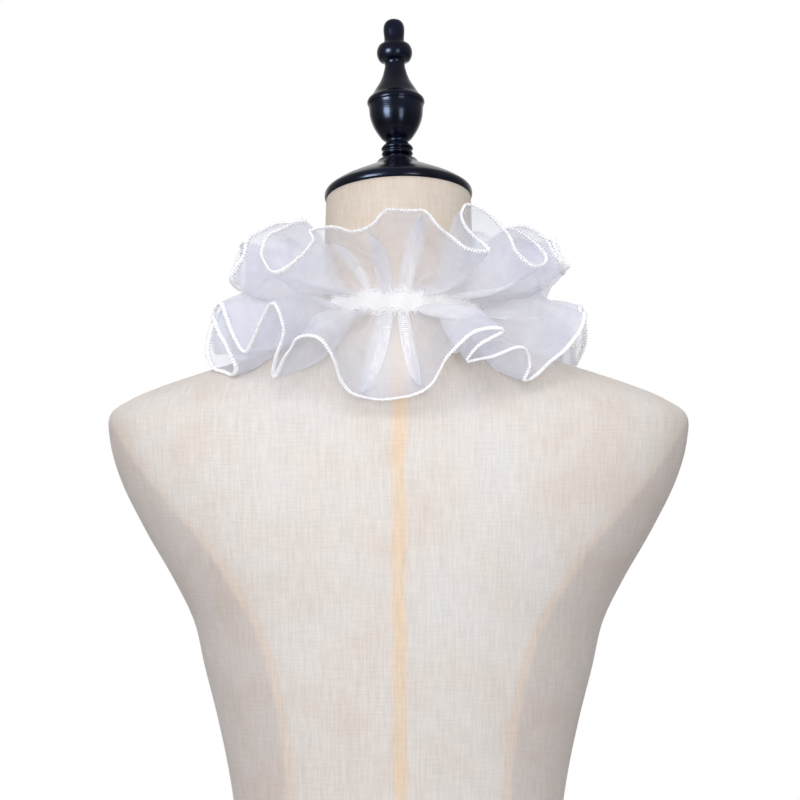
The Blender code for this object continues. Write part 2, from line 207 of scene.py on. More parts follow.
# Tucks where the cloth doubles back on itself and fans out from the band: the azimuth at the root in
# degrees, the half width in columns, the strip's half width in mm, negative where it lies the other
# way, and the share of the ruffle's width where the tuck has opened out.
Tuck = namedtuple("Tuck", "azimuth columns strip reach")
UPPER_TUCKS = [
    Tuck(-52, 13, 5.1, 0.7),
    Tuck(-37, 12, -4.5, 0.8),
    Tuck(-19, 14, 5.8, 0.7),
    Tuck(-5, 15, -7.2, 1.0),
    Tuck(9, 15, 7.2, 1.0),
    Tuck(22, 13, -5.4, 0.75),
    Tuck(35, 12, 4.8, 0.8),
    Tuck(50, 14, -5.8, 0.7),
    Tuck(69, 12, 4.8, 0.75),
    Tuck(84, 14, -5.4, 0.6),
    Tuck(104, 13, 5.1, 0.8),
    Tuck(121, 12, -4.5, 0.65),
    Tuck(139, 15, 6.1, 0.85),
    Tuck(158, 13, -5.1, 0.7),
    Tuck(172, 12, 4.8, 0.8),
    Tuck(191, 14, -5.8, 0.75),
    Tuck(208, 12, 4.8, 0.6),
    Tuck(226, 14, -5.4, 0.8),
    Tuck(243, 13, 5.1, 0.7),
    Tuck(259, 12, -4.5, 0.8),
    Tuck(276, 14, 5.4, 0.65),
    Tuck(293, 13, -5.1, 0.75),
]
LOWER_TUCKS = [
    Tuck(-47, 13, -5.1, 0.75),
    Tuck(-31, 14, 5.8, 0.65),
    Tuck(-16, 15, -6.7, 0.8),
    Tuck(-4, 15, 7.6, 1.0),
    Tuck(9, 17, -8.6, 1.0),
    Tuck(27, 14, 5.8, 0.8),
    Tuck(42, 12, -4.8, 0.7),
    Tuck(58, 14, 5.4, 0.8),
    Tuck(76, 12, -4.5, 0.6),
    Tuck(93, 14, 5.4, 0.8),
    Tuck(110, 13, -5.1, 0.7),
    Tuck(128, 14, 5.8, 0.75),
    Tuck(147, 12, -4.8, 0.8),
    Tuck(163, 14, 5.4, 0.65),
    Tuck(182, 13, -5.1, 0.8),
    Tuck(199, 12, 4.8, 0.7),
    Tuck(216, 14, -5.8, 0.75),
    Tuck(235, 13, 5.1, 0.6),
    Tuck(251, 12, -4.8, 0.8),
    Tuck(268, 14, 5.4, 0.7),
    Tuck(284, 12, -4.8, 0.75),
    Tuck(299, 13, 5.1, 0.7),
]
LAYER_GAP = 0.45 * MM
STRIP_FADES = 0.6
STRIP_DRAW = 0.2
STRIP_DRAW_MORE = 0.06
TUCK_OPENS = 0.8
TUCK_HIGHLIGHT_WIDE = 1.3

HEM_WIDE = 1.5 * MM
HEM_THICK = 0.7 * MM
HEM_INSET = 0.7 * MM
HEM_STEP = 0.3 * MM
HEM_SIDES = 8
HEM_INNER = -4
STITCH_PITCH = 2.0 * MM
STITCH_DEPTH = 0.38
STITCH_SLANT = 1.6

BAND_AROUND = 720
BAND_UP = 17
BAND_CROWN = 0.2 * MM
BAND_EDGE = 0.5 * MM
BAND_LIP = 0.1 * MM
BAND_ROUNDS = 0.8
BAND_INSIDE = 0.97
SEAM_REACH = 0.6
PUCKERS = 58
PUCKER_DEPTH = 0.15 * MM

# The frayed fibres: how many at the back and all round, the back's reach in radians, and sizes in mm.
FRAY_BACK = 8200
FRAY_ROUND = 1800
FRAY_REACH = 0.95
FRAY_STEPS = 4
FRAY_SIDES = 3
FRAY_STAND = 2.6
FRAY_SHORTEST = 1.2
FRAY_LONGEST = 7.5
FRAY_FINE = 0.07
FRAY_THICK = 0.15
FRAY_TAPER = 0.75
FRAY_BEND = 0.9

# Loose threads at the band: where each starts and ends round it, in degrees, and its rise in mm.
Loop = namedtuple("Loop", "start end rise")
LOOPS = [
    Loop(-9, -51, 13), Loop(24, 50, 8), Loop(14, -4, 5), Loop(27, 3, -5), Loop(-5, -66, -8), Loop(8, 40, -4),
    Loop(-12, -30, 4), Loop(60, 96, 9), Loop(84, 112, -7), Loop(118, 150, 8), Loop(139, 163, -6),
    Loop(168, 205, 11), Loop(176, 196, -5), Loop(212, 240, 7), Loop(224, 262, -8), Loop(258, 285, 9),
    Loop(-78, -98, -5), Loop(70, 82, 4),
]
LOOP_STEPS = 36
LOOP_SIDES = 5
LOOP_THICK = 0.38 * MM
LOOP_STAND = 1.2
LOOP_BULGE = 0.55

# The lengths in metres of the ruffles' flat cuts.
HEM_LENGTH = {1: 1.37, -1: 1.50}

# The armhole seam on the form: its height and its distance from the middle, in metres.
SEAM_LINE = [
    (0.0, 0.075), (0.2, 0.07), (0.3, 0.078), (0.3477, 0.0906), (0.3768, 0.1068), (0.404, 0.1248),
    (0.4285, 0.147), (0.4527, 0.168), (0.474, 0.184), (0.5, 0.2), (1.0, 0.25),
]


def colour(red, green, blue):
    """A colour with its alpha."""
    return (red, green, blue, 1.0)


# The room, its lights and the colours. The tints of the neck and of the panels outside the armhole
# seams, the organza's cooler tint away from the band, the whiter tucks and the small glows of the cloth
# stand for light and shade of the photograph's studio.
ROOM_LOW = 0.22
ROOM_HIGH = 0.64
KEY_LIGHT = 21.0
FRONT_LIGHT = 15.5
STRIP_LEFT = 85.0
STRIP_RIGHT = 18.0
WARM_LIGHT = (1.0, 0.985, 0.975)
COLD_LIGHT = (0.82, 0.9, 1.0)
COOL_LIGHT = (0.86, 0.92, 1.0)
FLOOR_RADIUS = 1.5
CLEAR_LAYERS = 32
LINEN_PALE = colour(0.735, 0.695, 0.67)
LINEN_WARM = colour(0.715, 0.65, 0.60)
LINEN_COOL = colour(0.735, 0.72, 0.715)
LINEN_NECK_SHADE = colour(0.94, 0.87, 0.78)
LINEN_SIDE_SHADE = colour(0.87, 0.84, 0.84)
LINEN_TAPE = colour(0.80, 0.62, 0.44)
NECK_SHADE_STARTS = (0.5, 0.57)
TAPE_ENDS = (0.52, 0.55)
LINEN_SEAM = colour(0.73, 0.61, 0.52)
ORGANZA_COVER = 0.41
ORGANZA_WEAVE = 0.02
ORGANZA_PALE = colour(0.87, 0.87, 0.92)
ORGANZA_COOL_SHADE = colour(0.68, 0.705, 0.83)
ORGANZA_PAINTED_GLOW = colour(0.86, 0.89, 1.0)
ORGANZA_SHADE_SPAN = (0.028, 0.084)
ORGANZA_TUCK_HIGHLIGHT = colour(0.97, 0.97, 0.99)
TUCK_HIGHLIGHT_COVER = 0.5
HEM_WHITE = colour(0.93, 0.935, 0.96)
HEM_SHADE = colour(0.84, 0.85, 0.89)
WEBBING_WHITE = colour(0.97, 0.97, 0.98)
WEBBING_SHADE = colour(0.88, 0.88, 0.91)
FRAY_WHITE = colour(0.98, 0.98, 0.99)
FRAY_SHADE = colour(0.94, 0.94, 0.96)
WOOD_BLACK = colour(0.0015, 0.0015, 0.004)
WOOD_BLUE = colour(0.003, 0.004, 0.013)
WOOD_SHEEN = colour(0.66, 0.75, 1.0)
FLOOR_PALE = colour(0.62, 0.61, 0.60)
FLOOR_SHADE = colour(0.58, 0.575, 0.57)


def add_mesh(name, points, faces, uvs=None):
    """A smooth-shaded object from points and faces, with a UV map where one is given by point."""
    mesh = bpy.data.meshes.new(name)
    mesh.from_pydata(np.asarray(points).tolist(), [], faces)
    if uvs is not None:
        layer = mesh.uv_layers.new(name="UVMap")
        index = np.empty(len(mesh.loops), int)
        mesh.loops.foreach_get("vertex_index", index)
        layer.data.foreach_set("uv", np.asarray(uvs)[index].ravel())
    mesh.shade_smooth()
    made = bpy.data.objects.new(name, mesh)
    bpy.context.scene.collection.objects.link(made)
    return made


def grid_faces(rows, columns, closed=True):
    """Quads of a grid of points held row by row, joined round the columns where it is closed."""
    last = columns if closed else columns - 1
    row, column = np.meshgrid(np.arange(rows - 1), np.arange(last), indexing="ij")
    after = (column + 1) % columns
    quads = np.stack([
        row * columns + column, row * columns + after,
        (row + 1) * columns + after, (row + 1) * columns + column,
    ], axis=-1)
    return quads.reshape(-1, 4).tolist()


def ring_faces(rows, columns):
    """Quads of a grid of points that is joined both round the columns and round the rows."""
    last = (rows - 1) * columns
    faces = grid_faces(rows, columns)
    for side in range(columns):
        after = (side + 1) % columns
        faces.append([last + side, last + after, after, side])
    return faces


def unit(vectors):
    """The vectors, each made one long."""
    return vectors / np.maximum(np.linalg.norm(vectors, axis=-1, keepdims=True), 1e-12)


def smooth_share(share, low, low_slope, high, high_slope):
    """The point at a share of the way from low to high, on a curve with these slopes at its ends."""
    return (
        (2 * share**3 - 3 * share**2 + 1) * low + (share**3 - 2 * share**2 + share) * low_slope
        + (3 * share**2 - 2 * share**3) * high + (share**3 - share**2) * high_slope
    )


def smooth_slopes(line, axis):
    """The gaps between the points of a line and the slopes at its inner points, evened by the gaps."""
    gap = np.linalg.norm(np.diff(line, axis=0), axis=axis, keepdims=True) ** 0.5
    slope = np.diff(line, axis=0) / gap
    return gap, (slope[1:] * gap[:-1] + slope[:-1] * gap[1:]) / (gap[1:] + gap[:-1])


def smooth_loop(places, turn, steps):
    """Points along a smooth curve through places that come round again after one turn."""
    count = len(places)
    long = np.concatenate([places - turn, places, places + turn])
    gap, lean = smooth_slopes(long, 1)
    share = (np.arange(steps) / steps)[:, None]
    curve = []
    for start in range(count, 2 * count):
        low_slope = gap[start] * lean[start - 1]
        high_slope = gap[start] * lean[start]
        curve.append(smooth_share(share, long[start], low_slope, long[start + 1], high_slope))
    return np.concatenate(curve)


def band_points(azimuth, radius, height):
    """Points round the band: azimuths in radians from the back centre, heights along the neck."""
    azimuth = np.asarray(azimuth, float)
    across = radius * np.sin(azimuth)
    back = radius * np.cos(azimuth)
    y = BAND_Y + FORM_Y + back * math.cos(BAND_TILT) - height * math.sin(BAND_TILT)
    z = BAND_Z + back * math.sin(BAND_TILT) + height * math.cos(BAND_TILT)
    return np.stack([across, y, z + 0 * back], axis=-1)


BAND_AXIS = band_points(0, 0, 1) - band_points(0, 0, 0)


def slow_wave(count, waves, seed, lowest=0.0):
    """A smooth uneven wave round a loop, from lowest to 1, made of a few frequencies."""
    turn = 2 * np.pi * np.arange(count) / count
    total = np.zeros(count)
    for k in range(1, 6):
        rate = max(1, round(waves * k / 4))
        total += np.sin(rate * turn + seed * 2.3 * k + k * k) / k**0.5
    total = (total - total.min()) / (total.max() - total.min())
    return lowest + (1 - lowest) * total


def low_pass(values, keep):
    """The values round a loop with only their slow part kept."""
    bins = np.fft.rfft(values)
    return np.fft.irfft(bins * np.exp(-((np.arange(len(bins)) / keep) ** 2)), len(values))


def fold_line(folds):
    """Azimuth, rise and reach at each column of the hem, and the column's azimuth at the root."""
    places = np.array([(*place, fold.reach) for fold in folds for place in fold.places])
    places[:, :2] = np.radians(places[:, :2])
    turn = np.array([2 * np.pi, 0, 0])
    curve = smooth_loop(places, turn, FOLD_STEPS)
    loop = np.concatenate([curve, curve[:1] + turn])
    radius = BAND_RADIUS + BAND_WALL + RUFFLE_WIDTH * loop[:, 2] * np.cos(loop[:, 1])
    line = np.stack([
        radius * np.sin(loop[:, 0]), radius * np.cos(loop[:, 0]), RUFFLE_WIDTH * np.sin(loop[:, 1]),
    ], axis=1)
    length = np.concatenate([[0], np.cumsum(np.linalg.norm(np.diff(line, axis=0), axis=1))])
    even = np.arange(COLUMNS) / COLUMNS
    azimuth, rise, reach = (np.interp(even * length[-1], length, column) for column in loop.T)
    wander = np.fft.rfft(azimuth - 2 * np.pi * even)
    wander *= np.exp(-((np.arange(len(wander)) * ROOT_SPREAD / len(folds)) ** 2))
    return azimuth, rise, reach, 2 * np.pi * even + np.fft.irfft(wander, COLUMNS)


def puffed_surface(folds, side):
    """The smooth ruffle, rows from the root to the hem, with each row's share of the width."""
    azimuth, rise, reach, root_azimuth = fold_line(folds)
    root = band_points(root_azimuth, ROOT_RADIUS, side * ROOT_HEIGHT)
    centre = band_points(azimuth, ROOT_RADIUS, side * ROOT_HEIGHT)
    out = np.stack([np.sin(azimuth), np.cos(azimuth), 0 * azimuth], axis=1)
    spread = RUFFLE_WIDTH * reach[:, None]
    hem = centre + spread * (np.cos(rise)[:, None] * out + np.sin(rise)[:, None] * UP)

    # Crests leave the band steeply upwards and troughs steeply downwards, so each starts as a puff.
    away = band_points(root_azimuth, 1, 0) - band_points(root_azimuth, 0, 0)
    middle = low_pass(rise, len(folds) * MIDDLE_DETAIL)
    swing = low_pass(rise - middle, len(folds) * SWING_DETAIL)
    swing = np.clip(swing / (SWING_FULL * swing.std()), -1, 1)
    beside = np.abs(np.sin(root_azimuth)) ** PUFF_TURN
    middle = PUFF_BACK[side] + (PUFF_SIDE[side] - PUFF_BACK[side]) * beside
    tilt = np.radians(middle + (PUFF_SWING[0] + (PUFF_SWING[1] - PUFF_SWING[0]) * beside) * swing)[:, None]
    start = np.cos(tilt) * away + np.sin(tilt) * BAND_AXIS
    chord = unit(hem - root)
    lifted = unit(BAND_AXIS - np.sum(BAND_AXIS * chord, axis=1, keepdims=True) * chord)
    arc = (HEM_ARC * swing)[:, None]
    finish = np.cos(arc) * chord - np.sin(arc) * lifted
    width = np.linalg.norm(hem - root, axis=1, keepdims=True)
    shares = (np.arange(ROWS) / (ROWS - 1)) ** ROW_CROWDING
    share = shares[:, None, None]
    surface = (
        (1 - share) ** 3 * root
        + 3 * (1 - share) ** 2 * share * (root + ROOT_LEAD * width * start)
        + 3 * (1 - share) * share**2 * (hem - HEM_LEAD * width * finish)
        + share**3 * hem
    )
    return surface, shares, root_azimuth


def gathered(surface, shares, side, seed, face):
    """The cloth with the gathers at its root, its soft creases and the ripples along its hem."""
    turns = 2 * np.pi * np.arange(COLUMNS) / COLUMNS
    uneven = slow_wave(COLUMNS, 9, seed, 0.35)
    phase = GATHERS[side] * turns + 1.6 * np.sin(7 * turns + seed) + 1.1 * np.sin(17 * turns + 2 * seed)
    fade = np.clip(1 - shares / GATHER_FADE, 0, 1) * np.clip(GATHER_START + shares / GATHER_FULL, 0, 1)
    gather = fade[:, None] * (np.sin(phase) * uneven)[None, :] * GATHER_DEPTH
    crease_phase = CREASES * turns + 2.1 * np.sin(5 * turns + seed) + 1.7 * np.sin(13 * turns - seed)
    depth = slow_wave(COLUMNS, 21, seed + 1.7) ** 1.5
    run = (np.sin(np.pi * np.clip(shares / CREASE_ENDS, 0, 1)) ** 0.7)[:, None]
    crease = run * (np.sin(crease_phase) * depth)[None, :] * CREASE_DEPTH
    wave = np.sin(HEM_RIPPLES * turns + 2 * np.sin(HEM_RIPPLE_TURN * turns + seed))
    ripple = (shares**3)[:, None] * wave[None, :]
    turned = np.clip(shares / GATHER_TURNS, 0, 1)[:, None, None]
    surface += gather[..., None] * unit((1 - turned) * BAND_AXIS + turned * face)
    surface += (crease + ripple * HEM_RIPPLE)[..., None] * face
    return surface


def tucked(surface, shares, root_azimuth, tucks, along, face):
    """The cloth drawn over itself at each tuck, and how far a tuck presses it at each point, which masks the
    painted highlight on the tucks.
    """
    over = unit(along)
    spacing = np.linalg.norm(along, axis=-1) / 2
    tuck_highlight = np.zeros(surface.shape[:2])
    for tuck in tucks:
        aside = (np.degrees(root_azimuth) - tuck.azimuth + 180) % 360 - 180
        first = int(np.argmin(np.abs(aside)))
        step = ((np.arange(COLUMNS) - first + COLUMNS / 2) % COLUMNS - COLUMNS / 2) / tuck.columns
        near = np.arange(first - tuck.columns, first + tuck.columns) % COLUMNS
        half = spacing[:, near].mean(axis=1) * tuck.columns
        run = np.clip(shares / tuck.reach, 0, 1)
        strip = abs(tuck.strip) * MM * (1 - run**3)
        strip *= STRIP_FADES + (1 - STRIP_FADES) * np.sin(np.pi * run)

        # The strip grows with the draw and with its square, so the draw comes from a square root.
        root = np.sqrt(STRIP_DRAW**2 + 4 * STRIP_DRAW_MORE * strip / half)
        draw = half * (1 + (root - STRIP_DRAW) / (2 * STRIP_DRAW_MORE))
        draw *= 1 - np.clip((run - TUCK_OPENS) / (1 - TUCK_OPENS), 0, 1) ** 2
        fold = step * np.exp(-(step**2))
        apart = step * np.exp(-(step**2) / 4)
        shut = 1 - run[:, None] ** 2
        # The mask of the painted highlight on the tucks, strongest where a tuck is shut.
        tuck_highlight = np.maximum(tuck_highlight, shut * np.exp(-((TUCK_HIGHLIGHT_WIDE * step) ** 4)))
        surface -= (fold * draw[:, None])[..., None] * over
        surface += math.copysign(LAYER_GAP, tuck.strip) * (apart * shut)[..., None] * face
    return surface, tuck_highlight


def ruffle_surface(folds, side, seed, tucks):
    """The ruffle's cloth by rows and columns, each row's share of the width, and the mask of the painted
    highlight on its tucks.
    """
    surface, shares, root_azimuth = puffed_surface(folds, side)
    along = np.roll(surface, -1, axis=1) - np.roll(surface, 1, axis=1)
    down = np.gradient(surface, shares, axis=0)
    face = unit(np.cross(along, down))
    face *= np.sign(np.sum(face[0] * BAND_AXIS, axis=-1).mean())
    surface = gathered(surface, shares, side, seed, face)
    surface, tuck_highlight = tucked(surface, shares, root_azimuth, tucks, along, face)
    return surface, shares, tuck_highlight


def face_tree(piece):
    """The piece's faces, ready to be searched."""
    work = bmesh.new()
    work.from_mesh(piece.data)
    tree = BVHTree.FromBMesh(work)
    work.free()
    return tree


def clear_of(surface, solid):
    """The points, with any that lie in or near the solid moved out to the clearance."""
    tree = face_tree(solid)
    low = surface[..., 2] < FORM_MEETS
    for place in zip(*np.nonzero(low)):
        spot = Vector(surface[place])
        near, facing, _, gap = tree.find_nearest(spot)
        if gap < FORM_SEARCH and (spot - near).dot(facing) < FORM_CLEARANCE:
            surface[place] = near + facing * FORM_CLEARANCE
    return surface


def clear_of_band(surface):
    """The points, with any that lie inside the seam's distance from the band moved straight out."""
    y = surface[..., 1] - BAND_Y - FORM_Y
    z = surface[..., 2] - BAND_Z
    back = y * math.cos(BAND_TILT) + z * math.sin(BAND_TILT)
    height = z * math.cos(BAND_TILT) - y * math.sin(BAND_TILT)
    radius = np.hypot(surface[..., 0], back)
    near = (np.abs(height) < BAND_HEIGHT * SEAM_REACH) & (radius < ROOT_RADIUS)
    turns = np.arctan2(surface[..., 0], back)
    surface[near] = band_points(turns, ROOT_RADIUS, height)[near]
    return surface


def clear_below(surface, cloth):
    """The points, with any that reach the cloth above them lowered to clear it."""
    tree = face_tree(cloth)
    near = (surface[..., 2] > CLOTH_MEETS) & (np.abs(surface[..., 0]) > CLOTH_ASIDE)
    for place in zip(*np.nonzero(near)):
        spot = surface[place]
        hit = tree.ray_cast(Vector(spot - UP * CLOTH_SEARCH), Vector(UP), 2 * CLOTH_SEARCH)[0]
        if hit is not None and hit.z - spot[2] < CLOTH_GAP:
            surface[place][2] = hit.z - CLOTH_GAP
    return surface


def build_hem(name, surface):
    """The rolled edge: a flattened tube along the hem with slanting ridges of thread."""
    edge, inner = surface[-1], surface[HEM_INNER]
    closed = np.concatenate([edge, edge[:1]])
    length = np.concatenate([[0], np.cumsum(np.linalg.norm(np.diff(closed, axis=0), axis=1))])
    count = int(length[-1] / HEM_STEP)
    spots = np.arange(count) * length[-1] / count
    line = np.stack([np.interp(spots, length, closed[:, k]) for k in range(3)], axis=1)
    outward = unit(edge - inner)
    outward = np.concatenate([outward, outward[:1]])
    wide = unit(np.stack([np.interp(spots, length, outward[:, k]) for k in range(3)], axis=1))
    tangent = unit(np.roll(line, -4, axis=0) - np.roll(line, 4, axis=0))
    wide = unit(wide - np.sum(wide * tangent, axis=1, keepdims=True) * tangent)
    thick = np.cross(tangent, wide)
    stitches = round(length[-1] / STITCH_PITCH)
    angle = 2 * np.pi * np.arange(HEM_SIDES) / HEM_SIDES
    slant = 2 * np.pi * stitches * spots[:, None] / length[-1] + STITCH_SLANT * np.sin(angle)[None, :]
    ridge = 1 + STITCH_DEPTH * np.cos(slant)
    centre = line - HEM_INSET * wide
    ring = (
        centre[:, None, :]
        + (ridge * HEM_WIDE * np.cos(angle))[..., None] * wide[:, None, :]
        + (ridge * HEM_THICK * np.sin(angle))[..., None] * thick[:, None, :]
    )
    return add_mesh(name, ring.reshape(-1, 3), ring_faces(*ring.shape[:2]))


class Finish:
    """A procedural material, put together node by node."""

    def __init__(self, name):
        self.material = bpy.data.materials.new(name)
        self.material.use_nodes = True
        self.tree = self.material.node_tree
        self.shader = self.tree.nodes["Principled BSDF"]

    def set(self, **values):
        """Sets sockets of the main shader by name, with a node's output or a plain value."""
        for name, value in values.items():
            self.join(value, self.shader.inputs[name.replace("_", " ")])
        return self

    def join(self, value, socket):
        """Feeds a socket from a node's output or with a plain value."""
        if isinstance(value, bpy.types.NodeSocket):
            self.tree.links.new(value, socket)
        else:
            socket.default_value = value

    def node(self, kind, settings=(), **inputs):
        """A node with its settings and inputs."""
        made = self.tree.nodes.new("ShaderNode" + kind)
        for name, value in dict(settings).items():
            setattr(made, name, value)
        for name, value in inputs.items():
            self.join(value, made.inputs[int(name[1:])] if name[1:].isdigit() else made.inputs[name])
        return made

    def sum(self, kind, first, second=0.0, third=0.0):
        """The result of a math node."""
        return self.node("Math", {"operation": kind}, _0=first, _1=second, _2=third).outputs[0]

    def stretched(self, vector, scale, detail=2.0, rough=0.5):
        """Noise from a vector stretched by a scale on each axis."""
        placed = self.node("Mapping", Vector=vector, Scale=scale).outputs[0]
        return self.node("TexNoise", Vector=placed, Scale=1.0, Detail=detail, Roughness=rough).outputs[0]

    def spread(self, value, low, high, bottom=0.0, top=1.0):
        """The value, taken from one range to another and kept within it."""
        settings = {"interpolation_type": "SMOOTHSTEP"}
        return self.node("MapRange", settings, _0=value, _1=low, _2=high, _3=bottom, _4=top).outputs[0]

    def blend(self, share, first, second, kind="MIX"):
        """A mix of two colours."""
        made = self.tree.nodes.new("ShaderNodeMix")
        made.data_type = "RGBA"
        made.blend_type = kind
        self.join(share, made.inputs[0])
        self.join(first, made.inputs[6])
        self.join(second, made.inputs[7])
        return made.outputs[2]

    def curve(self, value, places):
        """The value, read off a smooth curve through places, from the lowest to the highest."""
        made = self.node("FloatCurve", Value=value)
        line = made.mapping.curves[0]
        line.points[0].location = places[0]
        line.points[1].location = places[-1]
        for place in places[1:-1]:
            line.points.new(*place)
        made.mapping.update()
        return made.outputs[0]

    def bump(self, height, distance, strength=1.0):
        """A bump from a height."""
        return self.node("Bump", Strength=strength, Distance=distance, Height=height).outputs[0]


def linen_finish():
    """Unbleached plain weave over padding, with the tape under the centre seam showing through."""
    made = Finish("linen")
    uv = made.node("UVMap", {"uv_map": "UVMap"}).outputs[0]
    place = made.node("TexCoord").outputs["Object"]
    axes = made.node("SeparateXYZ", Vector=place).outputs
    x, z = axes["X"], axes["Z"]
    warp = made.stretched(uv, (760, 55, 1), rough=0.6)
    weft = made.stretched(uv, (60, 720, 1), rough=0.6)
    fine = made.stretched(uv, (2100, 2100, 1), detail=1)
    slub = made.stretched(uv, (330, 14, 1), detail=3, rough=0.6)
    patch = made.stretched(place, (26, 26, 26), detail=3, rough=0.55)
    cool = made.stretched(place, (11, 11, 9))
    base = made.blend(made.spread(patch, 0.36, 0.66), LINEN_PALE, LINEN_WARM)
    base = made.blend(made.spread(cool, 0.42, 0.7, 0, 0.65), base, LINEN_COOL)

    # Painted shade: the linen of the neck is multiplied darker and warmer.
    base = made.blend(made.spread(z, *NECK_SHADE_STARTS), base, made.blend(1.0, base, LINEN_NECK_SHADE, "MULTIPLY"))
    side = made.sum("ABSOLUTE", x)
    wave = made.sum("MULTIPLY", made.sum("SUBTRACT", made.stretched(place, (0, 0, 14)), 0.5), 0.008)
    aside = made.sum("ABSOLUTE", made.sum("ADD", made.sum("ADD", x, 0.0005), wave))
    tape = made.spread(aside, 0.0028, 0.0062, 1, 0)
    tape = made.sum("MULTIPLY", tape, made.spread(z, *TAPE_ENDS, 1, 0))
    tape = made.sum("MULTIPLY", tape, made.spread(patch, 0.2, 0.6, 0.55, 1))
    off = made.sum("SUBTRACT", side, made.curve(z, SEAM_LINE))
    # Painted shade: the panels outside the armhole seams are multiplied darker.
    base = made.blend(made.spread(off, -0.002, 0.004), base, made.blend(1.0, base, LINEN_SIDE_SHADE, "MULTIPLY"))
    seam = made.spread(made.sum("ABSOLUTE", made.sum("ADD", off, 0.0015)), 0.0012, 0.0055, 1, 0)
    seam = made.sum("MULTIPLY", seam, made.spread(z, 0.36, 0.46, 0.75, 0.3))
    base = made.blend(made.sum("MULTIPLY", tape, 0.8), base, LINEN_TAPE)
    base = made.blend(made.sum("MULTIPLY", seam, 0.8), base, LINEN_SEAM)
    threads = made.spread(warp, 0.3, 0.7, 0.95, 1.04)
    threads = made.sum("MULTIPLY", threads, made.spread(weft, 0.3, 0.7, 0.97, 1.03))
    threads = made.sum("MULTIPLY", threads, made.spread(slub, 0.35, 0.75, 1.01, 0.97))
    tone = made.node("CombineXYZ", X=threads, Y=threads, Z=threads).outputs[0]
    base = made.blend(1.0, base, tone, "MULTIPLY")
    height = made.sum("ADD", made.sum("ADD", warp, weft), fine)
    return made.set(
        Base_Color=base, Roughness=0.92, Sheen_Weight=0.12, Sheen_Roughness=0.5, Specular_IOR_Level=0.2,
        Normal=made.bump(height, 0.0003, 0.5),
    ).material


def organza_finish():
    """Sheer crisp cloth: fine threads with light between them, and a soft sheen."""
    made = Finish("organza")
    uv = made.node("UVMap", {"uv_map": "UVMap"}).outputs[0]
    warp = made.stretched(uv, (2400, 70, 1))
    weft = made.stretched(uv, (70, 2400, 1))
    cloud = made.stretched(uv, (60, 60, 1))
    weave = made.sum("ADD", made.sum("MULTIPLY", warp, 0.5), made.sum("MULTIPLY", weft, 0.5))
    across = made.node("SeparateXYZ", Vector=uv).outputs[1]
    cover = made.spread(weave, 0.35, 0.65, ORGANZA_COVER - ORGANZA_WEAVE, ORGANZA_COVER + ORGANZA_WEAVE)
    cover = made.sum("MULTIPLY", cover, made.spread(cloud, 0.3, 0.7, 0.94, 1.06))
    # Painted shade: the cloth turns darker and bluer away from the band.
    tint = made.blend(made.spread(across, *ORGANZA_SHADE_SPAN), ORGANZA_PALE, ORGANZA_COOL_SHADE)
    tint = made.blend(made.spread(cloud, 0.3, 0.7, 0, 0.3), tint, ORGANZA_PALE)
    # Painted highlight: the tucks are tinted whiter and made more opaque.
    tuck_highlight = made.node("Attribute", {"attribute_name": "tuck_highlight"}).outputs["Fac"]
    tint = made.blend(tuck_highlight, tint, ORGANZA_TUCK_HIGHLIGHT)
    cover = made.sum("MULTIPLY", cover, made.sum("MULTIPLY_ADD", tuck_highlight, TUCK_HIGHLIGHT_COVER, 1.0))
    # The emission is painted light: a small glow of the cloth.
    return made.set(
        Base_Color=tint, Roughness=0.45, Alpha=cover, Sheen_Weight=0.25, Sheen_Roughness=0.3,
        Emission_Color=ORGANZA_PAINTED_GLOW, Emission_Strength=0.05, Specular_IOR_Level=0.2,
        Normal=made.bump(weave, 0.0001, 0.12),
    ).material


def thread_finish():
    """White overlock thread of the rolled hem."""
    made = Finish("hem_thread")
    place = made.node("TexCoord").outputs["Object"]
    fibre = made.stretched(place, (900, 900, 900), rough=0.6)
    tint = made.blend(made.spread(fibre, 0.3, 0.7), HEM_SHADE, HEM_WHITE)
    # The emission is painted light: a small glow of the thread.
    return made.set(
        Base_Color=tint, Roughness=0.5, Sheen_Weight=0.3,
        Emission_Color=HEM_WHITE, Emission_Strength=0.08, Normal=made.bump(fibre, 0.0002, 0.5),
    ).material


def webbing_finish():
    """White stretch band with a soft nap."""
    made = Finish("stretch_webbing")
    uv = made.node("UVMap", {"uv_map": "UVMap"}).outputs[0]
    ribs = made.stretched(uv, (60, 1400, 1))
    cords = made.stretched(uv, (900, 60, 1))
    nap = made.stretched(uv, (500, 500, 1), detail=3, rough=0.6)
    tint = made.blend(made.spread(nap, 0.3, 0.7), WEBBING_SHADE, WEBBING_WHITE)
    height = made.sum("ADD", made.sum("ADD", ribs, cords), nap)
    # The emission is painted light: a glow of the band.
    return made.set(
        Base_Color=tint, Roughness=0.85, Sheen_Weight=0.4, Sheen_Roughness=0.5,
        Emission_Color=WEBBING_WHITE, Emission_Strength=0.25,
        Normal=made.bump(height, 0.0005, 0.7),
    ).material


def fray_finish():
    """Loose white fibres."""
    made = Finish("frayed_fibre")
    place = made.node("TexCoord").outputs["Object"]
    tone = made.stretched(place, (300, 300, 300), detail=1)
    tint = made.blend(made.spread(tone, 0.3, 0.7), FRAY_SHADE, FRAY_WHITE)
    # The emission is painted light: a glow of the fibres.
    return made.set(
        Base_Color=tint, Roughness=0.6, Sheen_Weight=0.3, Emission_Color=FRAY_WHITE, Emission_Strength=0.18,
    ).material


